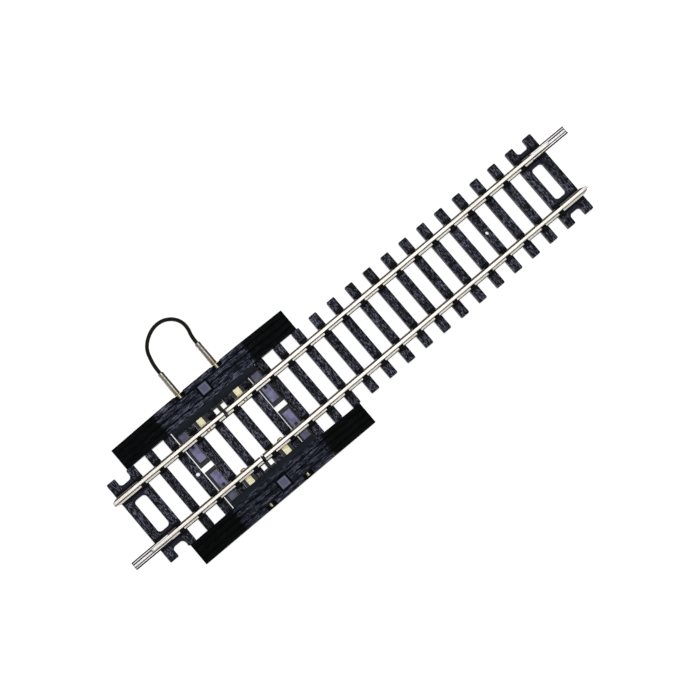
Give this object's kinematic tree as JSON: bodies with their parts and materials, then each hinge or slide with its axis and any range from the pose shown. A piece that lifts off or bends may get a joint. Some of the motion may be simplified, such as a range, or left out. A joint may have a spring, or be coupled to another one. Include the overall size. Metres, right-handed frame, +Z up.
{
  "type": "model railway isolating track section",
  "caption": "Straight narrow-scale model railway track with both rails cut, a clip-in terminal block beside each cut and a plug-in wire link that bridges one cut.",
  "frame": {"origin": "on the table, under the middle of the section, half way between the rails", "axes": "+X along the track towards the long uncut end, +Y across the track towards the link lead, +Z up"},
  "size_m": [0.1818, 0.0642, 0.0048],
  "materials": {
    "sleeper_plastic": "matt moulded, fine wood grain",
    "tray_plastic": "smooth moulded, satin",
    "cover_plastic": "moulded planks with grain",
    "fin_plastic": "smooth moulded",
    "rail_nickel": "rolled nickel silver, polished head",
    "joiner_steel": "plated sheet",
    "contact_brass": "stamped brass",
    "pin_brass": "turned brass",
    "ferrule_tin": "tinned, satin",
    "wire_insulation": "black insulation, faint gloss",
    "wire_copper": "bare copper"
  },
  "bodies": {
    "track": {"sleeper_base": "sleeper_plastic", "terminal_tray_far": "tray_plastic", "terminal_cover_far": "cover_plastic", "insulating_fin_far": "fin_plastic", "rail_far_west": "rail_nickel", "contact_far_west": "contact_brass", "rail_far_east": "rail_nickel", "contact_far_east": "contact_brass", "terminal_tray_near": "tray_plastic", "terminal_cover_near": "cover_plastic", "insulating_fin_near": "fin_plastic", "rail_near_west": "rail_nickel", "contact_near_west": "contact_brass", "rail_near_east": "rail_nickel", "contact_near_east": "contact_brass"},
    "link": {"link_jacket": "wire_insulation", "link_core": "wire_copper", "link_pin_west": "pin_brass", "link_pin_east": "pin_brass", "link_ferrule_west": "ferrule_tin", "link_ferrule_east": "ferrule_tin"},
    "joiner_west": {"joiner_west": "joiner_steel"},
    "joiner_east": {"joiner_east": "joiner_steel"}
  },
  "joints": [
    {"name": "link_pull", "type": "slide", "parent": "track", "child": "link", "axis": [0, 1, 0], "range_m": [0, 0.006]},
    {"name": "joiner_west_slide", "type": "slide", "parent": "track", "child": "joiner_west", "axis": [-1, 0, 0], "range_m": [-0.002, 0.006]},
    {"name": "joiner_east_slide", "type": "slide", "parent": "track", "child": "joiner_east", "axis": [1, 0, 0], "range_m": [-0.002, 0.006]}
  ]
}
